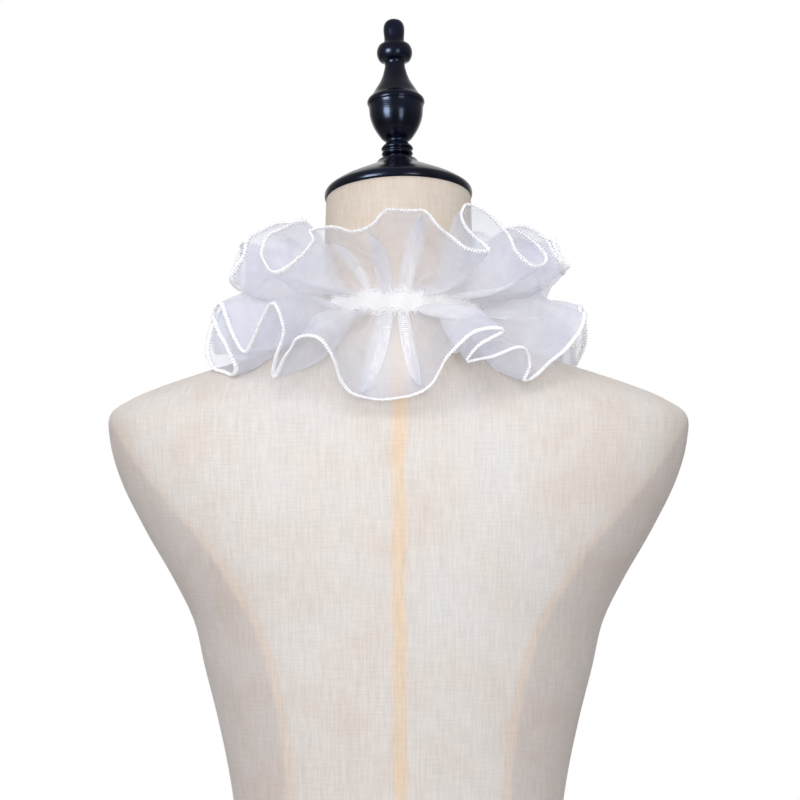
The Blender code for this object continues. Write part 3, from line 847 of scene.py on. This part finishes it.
def wood_finish():
    """Turned wood under black gloss lacquer, with faint rings from the lathe and fine dust."""
    made = Finish("black_wood")
    place = made.node("TexCoord").outputs["Object"]
    rings = made.stretched(place, (20, 20, 1500))
    wavy = made.stretched(place, (60, 60, 60))
    dust = made.stretched(place, (700, 700, 700), rough=0.6)
    tint = made.blend(made.spread(wavy, 0.35, 0.7), WOOD_BLACK, WOOD_BLUE)
    gloss = made.sum(
        "ADD", made.spread(dust, 0.35, 0.75, 0.2, 0.25), made.spread(wavy, 0.3, 0.7, -0.02, 0.03)
    )
    height = made.sum("ADD", made.sum("MULTIPLY", rings, 0.4), wavy)
    return made.set(
        Base_Color=tint, Roughness=gloss, Specular_IOR_Level=0.22, Specular_Tint=WOOD_SHEEN,
        Normal=made.bump(height, 0.0003, 0.35),
    ).material


def floor_finish():
    """Plain pale floor."""
    made = Finish("floor")
    place = made.node("TexCoord").outputs["Object"]
    tone = made.stretched(place, (4, 4, 4))
    tint = made.blend(made.spread(tone, 0.3, 0.7), FLOOR_PALE, FLOOR_SHADE)
    return made.set(Base_Color=tint, Roughness=0.9).material


def section_frame(section):
    """The place and tilt of a form section."""
    place = Matrix.Translation((0, section.middle * MM + FORM_Y, section.height * MM))
    place = place @ Matrix.Rotation(math.radians(section.tilt), 4, "X")
    return place @ Matrix.Rotation(math.radians(section.lean), 4, "Y")


def section_point(section, angle):
    """The point of a form section at an angle round it, from +X towards the back."""
    across, along = math.cos(angle), math.sin(angle)
    power = 2 / section.square
    reach = section.back if along > 0 else section.front
    x = math.copysign(abs(across) ** power, across) * section.half_width * MM
    y = math.copysign(abs(along) ** power, along) * reach * MM
    point = section_frame(section) @ Vector((x, y, 0))
    if along < 0:
        aside = (abs(point.x) - BUST_X) / BUST_WIDE
        above = (point.z - BUST_Z) / BUST_TALL
        point.y -= BUST_REACH * math.exp(-(aside**2) - above**2) * abs(along)
    return point


def build_form():
    """The linen-covered torso and neck, smooth between the sections, with a flat face at each end."""
    angles = 2 * math.pi * np.arange(FORM_AROUND) / FORM_AROUND - math.pi / 2
    rings = np.array([[section_point(section, angle) for angle in angles] for section in FORM_SECTIONS])
    first = 2 * rings[:1] - rings[1:2]
    last = 2 * rings[-1:] - rings[-2:-1]
    long = np.concatenate([first, rings, last])
    gap, lean = smooth_slopes(long, 2)
    rows = []
    for start in range(len(rings) - 1):
        low_slope = gap[start + 1] * lean[start]
        high_slope = gap[start + 1] * lean[start + 1]
        for step in range(FORM_UP):
            rows.append(smooth_share(step / FORM_UP, rings[start], low_slope, rings[start + 1], high_slope))
    surface = np.array(rows + [rings[-1]])
    count, columns = surface.shape[:2]
    around = np.linalg.norm(np.diff(np.concatenate([surface, surface[:, :1]], axis=1), axis=1), axis=2)
    u = np.concatenate([np.zeros((count, 1)), np.cumsum(around, axis=1)[:, :-1]], axis=1)
    u -= u[:, columns // 2][:, None]
    up = np.linalg.norm(np.diff(surface, axis=0), axis=2).mean(axis=1)
    v = np.concatenate([[0], np.cumsum(up)])[:, None] + 0 * u
    faces = grid_faces(count, columns)
    top = (count - 1) * columns
    ends = [list(range(columns))[::-1], list(range(top, top + columns))]
    form = add_mesh("form_linen", surface.reshape(-1, 3), faces + ends, np.stack([u, v], -1).reshape(-1, 2))
    form.data.polygons[-1].use_smooth = False
    form.data.polygons[-2].use_smooth = False
    return form


def build_turned(name, profile):
    """A piece turned about the neck's axis, its profile smoothed but for its first and last runs."""
    place = section_frame(FORM_SECTIONS[-1])
    corners = np.array(profile, float)
    line = [corners[0]]
    for start in range(len(corners) - 1):
        before = corners[max(start - 1, 0)]
        low, high = corners[start], corners[start + 1]
        after = corners[min(start + 2, len(corners) - 1)]
        flat = start == 0 or start == len(corners) - 2
        gap = np.linalg.norm(high - low)
        first = (high - before) / (np.linalg.norm(high - before) + 1e-9) * gap
        last = (after - low) / (np.linalg.norm(after - low) + 1e-9) * gap
        for share in (np.arange(TURN_STEPS) + 1) / TURN_STEPS:
            line.append(low + share * (high - low) if flat else smooth_share(share, low, first, high, last))
    points = []
    for radius, height in line[1:-1]:
        for side in range(TURN_SIDES):
            angle = 2 * math.pi * side / TURN_SIDES
            spot = Vector((radius * math.cos(angle), radius * math.sin(angle), height))
            points.append(place @ (spot * MM))
    faces = grid_faces(len(line) - 2, TURN_SIDES)
    top = (len(line) - 3) * TURN_SIDES
    faces += [list(range(TURN_SIDES))[::-1], list(range(top, top + TURN_SIDES))]
    return add_mesh(name, points, faces)


def build_band():
    """The stretch band: a ribbed ring with soft edges, puckered by its stitches."""
    half, outer = BAND_HEIGHT / 2, BAND_RADIUS + BAND_WALL
    count = BAND_AROUND
    turns = 2 * np.pi * np.arange(count) / count
    outline = []
    for share in np.linspace(-1, 1, BAND_UP):
        crown = BAND_CROWN * (1 - share**2)
        edge = BAND_EDGE * max(0, abs(share) - BAND_ROUNDS) / (1 - BAND_ROUNDS)
        outline.append((outer + crown - edge, share * half))
    outline += [(BAND_RADIUS + BAND_LIP, end * BAND_INSIDE * half) for end in (1, -1)]
    pucker = PUCKER_DEPTH * np.sin(PUCKERS * turns + 1.5 * np.sin(9 * turns)) * slow_wave(count, 7, 3, 0.4)
    rings = np.stack([
        band_points(turns, radius + (pucker if place < BAND_UP else 0), height)
        for place, (radius, height) in enumerate(outline)
    ], axis=1)
    across = len(outline)
    faces = ring_faces(count, across)
    u = turns[:, None] * outer + np.zeros((1, across))
    v = np.array([height for _, height in outline])[None, :] + 0 * u
    return add_mesh("band_webbing", rings.reshape(-1, 3), faces, np.stack([u, v], -1).reshape(-1, 2))


def tube_faces(base, steps, sides):
    """Quads of an open tube whose points start at base."""
    faces = []
    for low in range(base, base + (steps - 1) * sides, sides):
        for corner in range(sides):
            after = (corner + 1) % sides
            faces.append([low + corner, low + after, low + sides + after, low + sides + corner])
    return faces


def build_fray(rng):
    """Loose fibres that stand out of the band's face and its seams, thickest at the back."""
    back = rng.uniform(-FRAY_REACH, FRAY_REACH, FRAY_BACK)
    rest = rng.uniform(-np.pi, np.pi, FRAY_ROUND)
    turns = np.concatenate([back, rest])
    count = len(turns)
    away_from_back = np.clip(np.abs(turns) / FRAY_REACH, 0, 1) ** 2
    fullness = 1 - 0.25 * away_from_back
    level = rng.uniform(-1, 1, count)
    stand = (0.4 + rng.uniform(0, FRAY_STAND, count) * fullness) * MM
    start = band_points(turns, BAND_RADIUS + BAND_WALL + stand, level * BAND_HEIGHT * 0.56 * fullness)
    away = unit(band_points(turns, 1, 0) - band_points(turns, 0, 0))
    axis = unit(BAND_AXIS)
    tangent = np.cross(axis, away)
    length = rng.gamma(3.0, 1.0, count).clip(FRAY_SHORTEST, FRAY_LONGEST)
    length = (length * (1 - 0.45 * away_from_back))[:, None] * MM
    lie = rng.normal(0, 1, (count, 3))
    lean = unit(
        away * rng.uniform(0.1, 0.6, (count, 1)) + tangent * lie[:, :1] * 0.8
        + axis * (0.45 * lie[:, 1:2] + 0.8 * level[:, None] ** 3)
    )
    bend = unit(tangent * rng.normal(0, 1, (count, 1)) + axis * rng.normal(0, 1, (count, 1)) + away * 0.3)
    steps = np.linspace(0, 1, FRAY_STEPS)[:, None, None]
    line = start + length * (steps * lean + steps**2 * FRAY_BEND * bend)
    run = unit(np.gradient(line, axis=0))
    side = unit(np.cross(run, away + 0.01))
    other = np.cross(run, side)
    thick = (rng.uniform(FRAY_FINE, FRAY_THICK, (count, 1)) * MM)[None] * (1 - FRAY_TAPER * steps)
    angles = 2 * np.pi * np.arange(FRAY_SIDES) / FRAY_SIDES
    ring = np.stack([line + thick * (np.cos(a) * side + np.sin(a) * other) for a in angles], axis=2)
    points = ring.transpose(1, 0, 2, 3).reshape(-1, 3)
    faces = []
    for hair in range(count):
        faces += tube_faces(hair * FRAY_STEPS * FRAY_SIDES, FRAY_STEPS, FRAY_SIDES)
    return add_mesh("band_fray", points, faces)


def build_loops(loops):
    """Loose threads of the gathered seams, each an arc that leaves the band and comes back to it."""
    share = np.arange(LOOP_STEPS) / (LOOP_STEPS - 1)
    angle = 2 * np.pi * np.arange(LOOP_SIDES) / LOOP_SIDES
    points, faces = [], []
    for number, loop in enumerate(loops):
        turns = np.radians(loop.start + (loop.end - loop.start) * share)
        swell = np.sin(np.pi * share ** (0.8 + 0.1 * (number % 5)))
        radius = BAND_RADIUS + BAND_WALL + (LOOP_STAND + LOOP_BULGE * abs(loop.rise) * swell) * MM
        height = math.copysign(BAND_HEIGHT * 0.4, loop.rise) + loop.rise * MM * swell
        line = band_points(turns, radius, height)
        tangent = unit(np.gradient(line, axis=0))
        side = unit(np.cross(tangent, UP))
        other = np.cross(tangent, side)
        thick = (LOOP_THICK * (0.75 + 0.25 * np.sin(9 * share + number)))[:, None, None]
        across = np.cos(angle)[:, None] * side[:, None] + np.sin(angle)[:, None] * other[:, None]
        ring = line[:, None] + thick * across
        base = len(points)
        points.extend(ring.reshape(-1, 3))
        faces += tube_faces(base, LOOP_STEPS, LOOP_SIDES)
        for first in (base, base + (LOOP_STEPS - 1) * LOOP_SIDES):
            faces.append([first + corner for corner in range(LOOP_SIDES)])
    return add_mesh("seam_threads", points, faces)


def build_ruffle(name, folds, side, seed, tucks, form, above=None):
    """One ruffle's cloth and its rolled hem."""
    surface, shares, tuck_highlight = ruffle_surface(folds, side, seed, tucks)
    surface = clear_of_band(clear_of(surface, form))
    if above:
        surface = clear_below(surface, above)
    rows, columns = surface.shape[:2]
    u = np.arange(columns) * HEM_LENGTH[side] / columns
    u = u[None, :] + np.zeros((rows, 1))
    v = shares[:, None] * RUFFLE_WIDTH + 0 * u
    cloth = add_mesh(
        name, surface.reshape(-1, 3), grid_faces(rows, columns), np.stack([u, v], -1).reshape(-1, 2)
    )
    # The mask of the painted highlight on the tucks, kept on the cloth for its material.
    layer = cloth.data.attributes.new("tuck_highlight", "FLOAT", "POINT")
    layer.data.foreach_set("value", tuck_highlight.ravel().astype(np.float32))
    return cloth, build_hem(name + "_hem", surface)


def finish_piece(piece, made, nodes=()):
    """Gives a piece its material in a new slot, puts it on the root body and hides the CAD parts that it
    stands for.
    """
    piece.data.materials.append(made)
    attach(piece, "root")
    if nodes:
        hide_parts(*nodes)
    return piece


def map_range(tree, value, low, high, bottom, top):
    """A smooth change of the value from one range to another."""
    made = tree.nodes.new("ShaderNodeMapRange")
    made.interpolation_type = "SMOOTHSTEP"
    tree.links.new(value, made.inputs[0])
    for place, level in enumerate((low, high, bottom, top), 1):
        if isinstance(level, bpy.types.NodeSocket):
            tree.links.new(level, made.inputs[place])
        else:
            made.inputs[place].default_value = level
    return made.outputs[0]


def add_light(name, place, target, size, power, tint, gloss=False):
    """A soft box that faces the target, for the gloss alone or for everything but the gloss."""
    data = bpy.data.lights.new(name, "AREA")
    data.shape = "RECTANGLE"
    data.size, data.size_y = size
    data.energy = power
    data.color = tint
    light = bpy.data.objects.new(name, data)
    light.location = place
    light.rotation_euler = (Vector(target) - Vector(place)).to_track_quat("-Z", "Y").to_euler()
    light.visible_diffuse = not gloss
    light.visible_glossy = gloss
    bpy.context.scene.collection.objects.link(light)


def add_camera():
    """The camera, level with the shoulders, straight behind the form."""
    data = bpy.data.cameras.new("camera")
    data.sensor_width = SENSOR
    data.lens = SENSOR * CAMERA_DISTANCE / FIELD_WIDTH
    camera = bpy.data.objects.new("camera", data)
    camera.location = (CAMERA_ASIDE, CAMERA_DISTANCE, CAMERA_HEIGHT)
    camera.rotation_euler = Euler((math.pi / 2, 0, math.pi))
    bpy.context.scene.collection.objects.link(camera)
    bpy.context.scene.camera = camera


def add_room():
    """White paper on the form's front side and a dimmer room on the other sides."""
    world = bpy.data.worlds.new("studio")
    world.use_nodes = True
    studio = world.node_tree
    background = studio.nodes["Background"]
    background.inputs["Color"].default_value = (1, 1, 1, 1)
    bpy.context.scene.world = world
    axes = studio.nodes.new("ShaderNodeSeparateXYZ")
    studio.links.new(studio.nodes.new("ShaderNodeTexCoord").outputs["Generated"], axes.inputs[0])
    room = map_range(studio, axes.outputs["Z"], -0.6, 0.6, ROOM_LOW, ROOM_HIGH)
    paper = map_range(studio, axes.outputs["Y"], -0.9, -0.6, 1.0, 0.0)
    studio.links.new(map_range(studio, paper, 0.0, 1.0, room, 1.0), background.inputs["Strength"])


def add_lights():
    """Two soft boxes for everything but the gloss, and two strips for the gloss alone."""
    add_light("key", (0.3, 1.9, 2.1), (0, 0, 0.45), (1.2, 1.2), KEY_LIGHT, WARM_LIGHT)
    add_light("front", (0.1, 2.4, 0.8), (0, 0, 0.5), (0.8, 0.6), FRONT_LIGHT, WARM_LIGHT)
    add_light("strip_left", (1.3, 1.45, 0.85), (0, 0, 0.65), (0.8, 0.75), STRIP_LEFT, COLD_LIGHT, True)
    add_light("strip_right", (-0.75, 1.8, 0.7), (0, 0, 0.65), (0.5, 0.8), STRIP_RIGHT, COOL_LIGHT, True)


def add_floor():
    """The round floor under the form."""
    mesh = bpy.data.meshes.new("floor")
    work = bmesh.new()
    bmesh.ops.create_circle(work, cap_ends=True, segments=96, radius=FLOOR_RADIUS)
    work.to_mesh(mesh)
    work.free()
    mesh.materials.append(floor_finish())
    floor = bpy.data.objects.new("floor", mesh)
    bpy.context.scene.collection.objects.link(floor)


add_camera()
bpy.context.scene.view_settings.view_transform = "Standard"
bpy.context.scene.cycles.transparent_max_bounces = CLEAR_LAYERS
add_room()
add_lights()
add_floor()

form = finish_piece(build_form(), linen_finish(), ["dress_form"])
organza = organza_finish()
thread = thread_finish()
upper, upper_hem = build_ruffle("upper_organza", UPPER_FOLDS, 1, 0.7, UPPER_TUCKS, form)
lower, lower_hem = build_ruffle("lower_organza", LOWER_FOLDS, -1, 2.9, LOWER_TUCKS, form, upper)
finish_piece(upper, organza, ["upper_ruffle"])
finish_piece(lower, organza, ["lower_ruffle"])
finish_piece(upper_hem, thread)
finish_piece(lower_hem, thread)
band = finish_piece(build_band(), webbing_finish(), ["neck_band"])
fray = finish_piece(build_fray(np.random.default_rng(11)), fray_finish())
threads = finish_piece(build_loops(LOOPS), thread)

wood = wood_finish()
finish_piece(build_turned("turned_cap", CAP_PROFILE), wood, ["neck_cap"])
finish_piece(build_turned("turned_finial", FINIAL_PROFILE), wood, ["finial"])
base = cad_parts["base_plate"]
base.material_slots[0].link = "OBJECT"
base.material_slots[0].material = wood
